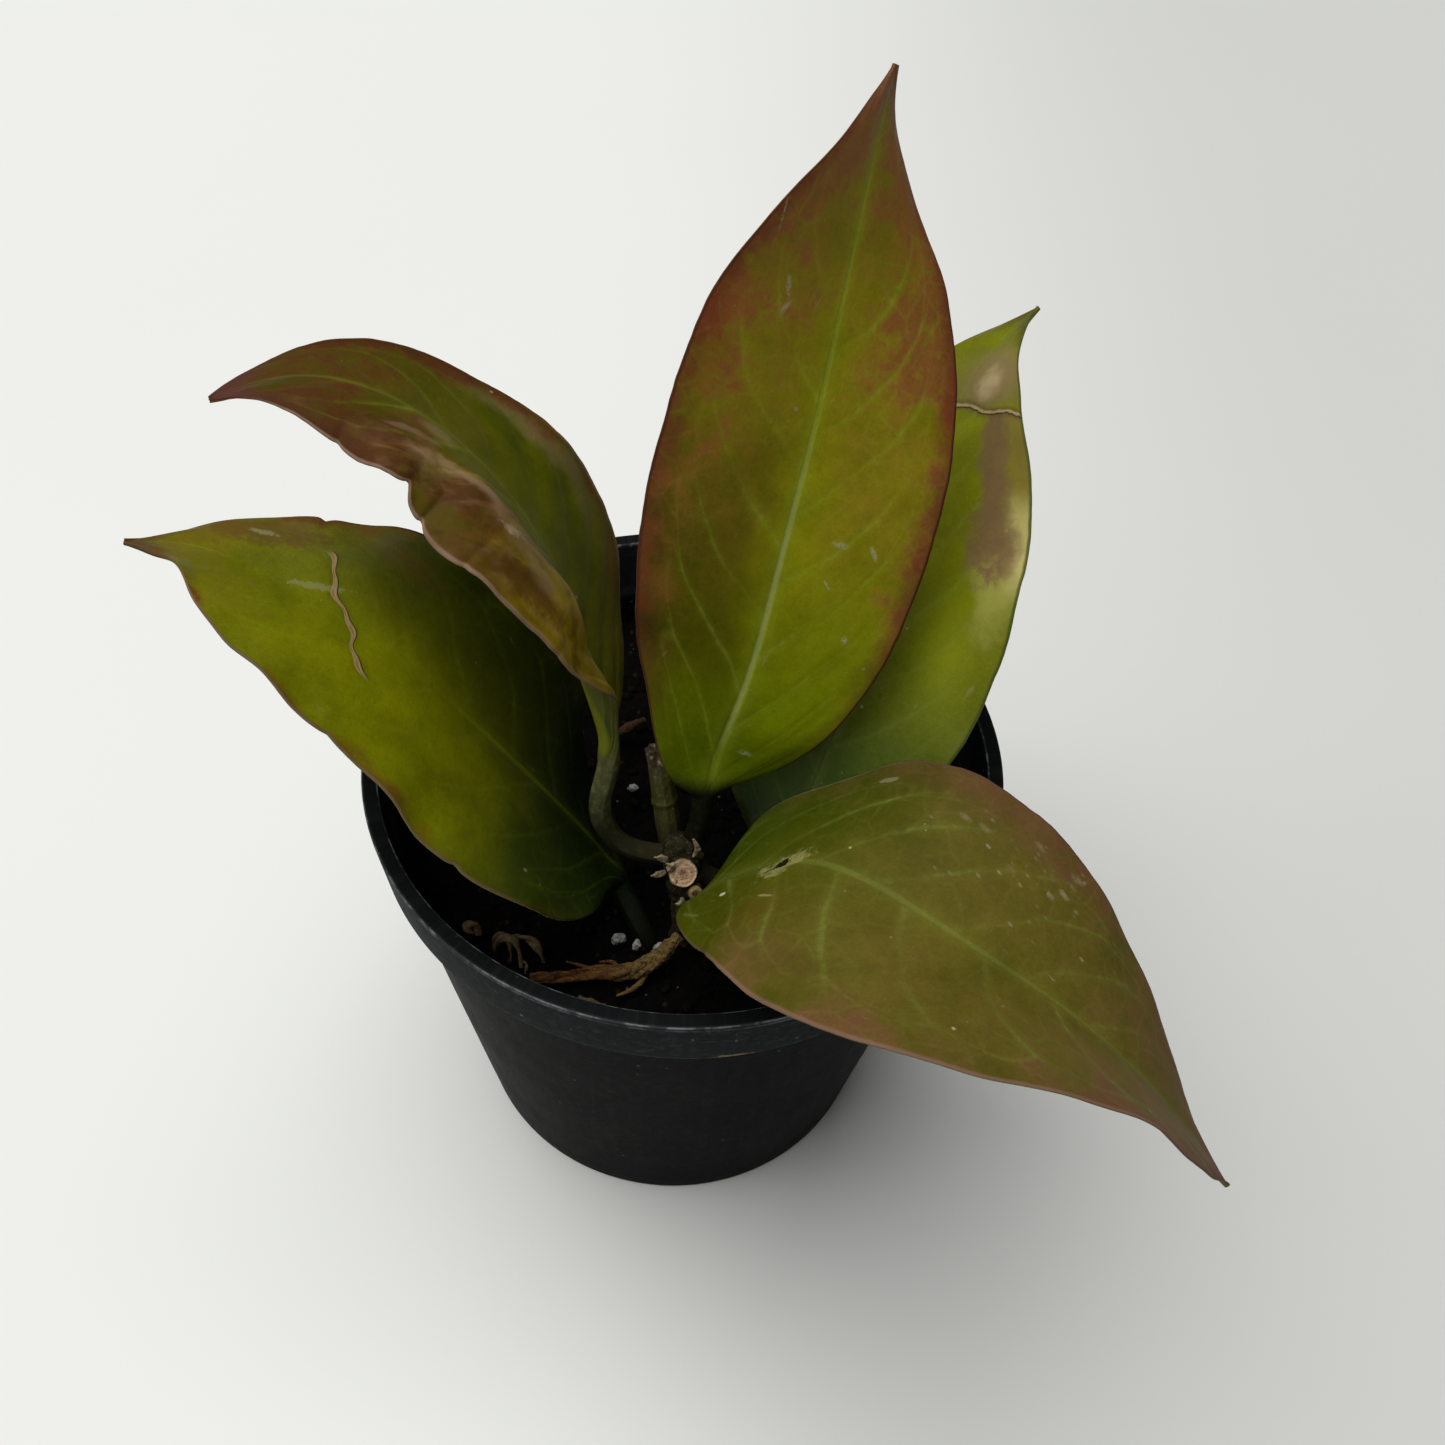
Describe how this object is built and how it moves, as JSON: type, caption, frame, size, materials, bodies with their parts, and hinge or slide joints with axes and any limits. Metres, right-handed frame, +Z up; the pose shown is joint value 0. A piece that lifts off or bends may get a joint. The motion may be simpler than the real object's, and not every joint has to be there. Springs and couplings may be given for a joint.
{
  "type": "potted sunrise hoya",
  "caption": "Young sunrise hoya with large thick waxy pointed leaves on a short knobbly stem, rooted in dark soil in a small round black nursery pot.",
  "frame": {"origin": "centre of the pot's flat underside", "axes": "+Z up along the pot's axis; -Y is the pictured front, where the cut stem and the root show; +X is to the right seen from the front"},
  "size_m": [0.1149, 0.093, 0.133],
  "materials": {
    "black_plastic": "satin black, lightly scuffed rim",
    "peat_soil": "matt, crumbly, almost black",
    "old_stem": "matt, knobbly",
    "green_stem": "satin",
    "leaf_olive": "waxy satin",
    "leaf_lime": "waxy satin",
    "leaf_bronze": "waxy satin",
    "leaf_green": "waxy satin",
    "leaf_dull_olive": "waxy satin",
    "root_brown": "matt, fibrous",
    "perlite": "matt",
    "dry_tan": "matt, papery"
  },
  "bodies": {
    "root": {"nursery_pot": "black_plastic", "potting_soil": "peat_soil", "main_stem": "old_stem", "upright_stub_stem": "green_stem", "leaf_tall_center": "leaf_olive", "leaf_back_right": "leaf_lime", "leaf_arching_left": "leaf_bronze", "leaf_low_left": "leaf_green", "leaf_drooping_right": "leaf_dull_olive", "surface_root": "root_brown", "perlite_grain_1": "perlite", "perlite_grain_2": "perlite", "perlite_grain_3": "perlite", "perlite_grain_4": "perlite", "perlite_grain_5": "perlite", "dry_curl_large": "dry_tan", "dry_curl_small": "dry_tan", "bark_flake": "dry_tan", "bark_twig_back": "root_brown"}
  },
  "joints": []
}
